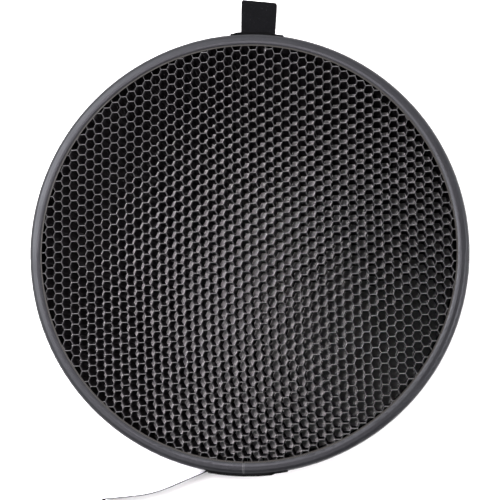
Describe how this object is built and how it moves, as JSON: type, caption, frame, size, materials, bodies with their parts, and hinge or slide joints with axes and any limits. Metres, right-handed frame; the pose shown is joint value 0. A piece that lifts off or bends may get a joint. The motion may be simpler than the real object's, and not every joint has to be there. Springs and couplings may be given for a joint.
{
  "type": "honeycomb grid",
  "caption": "Round honeycomb light grid: black expanded foil core in a metal hoop with rubber edge trim, and hook-and-loop straps on its outer wall.",
  "frame": {"origin": "centre of the rear face of the edge trim, on the grid's axis", "axes": "+Z along the light's way out of the grid's front face, +Y towards the short strap, +X to the right seen from the front"},
  "size_m": [0.5588, 0.6698, 0.0496],
  "materials": {
    "foil": "matte black coating, bare worn front edges",
    "hoop_metal": "mill",
    "trim_rubber": "matte, fine grain",
    "rivet_metal": "satin",
    "strap_fabric": "woven hook-and-loop",
    "backing_film": "pale release film"
  },
  "bodies": {
    "grid": {"edge_trim": "trim_rubber", "foil_ribbons_01": "foil", "foil_ribbons_02": "foil", "foil_ribbons_03": "foil", "foil_ribbons_04": "foil", "foil_ribbons_05": "foil", "foil_ribbons_06": "foil", "foil_ribbons_07": "foil", "foil_ribbons_08": "foil", "foil_ribbons_09": "foil", "foil_ribbons_10": "foil", "foil_ribbons_11": "foil", "foil_ribbons_12": "foil", "foil_ribbons_13": "foil", "foil_ribbons_14": "foil", "foil_ribbons_15": "foil", "foil_ribbons_16": "foil", "foil_ribbons_17": "foil", "foil_ribbons_18": "foil", "foil_ribbons_19": "foil", "foil_ribbons_20": "foil", "foil_ribbons_21": "foil", "foil_ribbons_22": "foil", "foil_ribbons_23": "foil", "foil_ribbons_24": "foil", "foil_ribbons_25": "foil", "foil_ribbons_26": "foil", "foil_ribbons_27": "foil", "foil_ribbons_28": "foil", "foil_ribbons_29": "foil", "foil_ribbons_30": "foil", "foil_ribbons_31": "foil", "foil_ribbons_32": "foil", "foil_ribbons_33": "foil", "foil_ribbons_34": "foil", "foil_ribbons_35": "foil", "foil_ribbons_36": "foil", "foil_ribbons_37": "foil", "foil_ribbons_38": "foil", "foil_ribbons_39": "foil", "foil_ribbons_40": "foil", "foil_ribbons_41": "foil", "foil_ribbons_42": "foil", "long_strap_patch": "strap_fabric", "long_strap_rivet": "rivet_metal", "long_strap_root": "strap_fabric", "rim_hoop": "hoop_metal", "short_strap_patch": "strap_fabric", "short_strap_rivet": "rivet_metal", "short_strap_root": "strap_fabric", "splice_plate": "hoop_metal", "splice_rivets": "rivet_metal"},
    "short_tab": {"short_strap_tab": "strap_fabric"},
    "long_strap": {"long_strap_free": "strap_fabric", "long_strap_liner": "backing_film"}
  },
  "joints": [
    {"name": "short_tab_fold", "type": "hinge", "parent": "grid", "child": "short_tab", "pos_m": [0.01136, 0.28277, 0.001], "axis": [0.9992, -0.0401, 0], "range_deg": [-90, 75]},
    {"name": "long_strap_fold", "type": "hinge", "parent": "grid", "child": "long_strap", "pos_m": [-0.04886, -0.27708, 0.0248], "axis": [0, 0, 1], "range_deg": [-28, 90]}
  ]
}
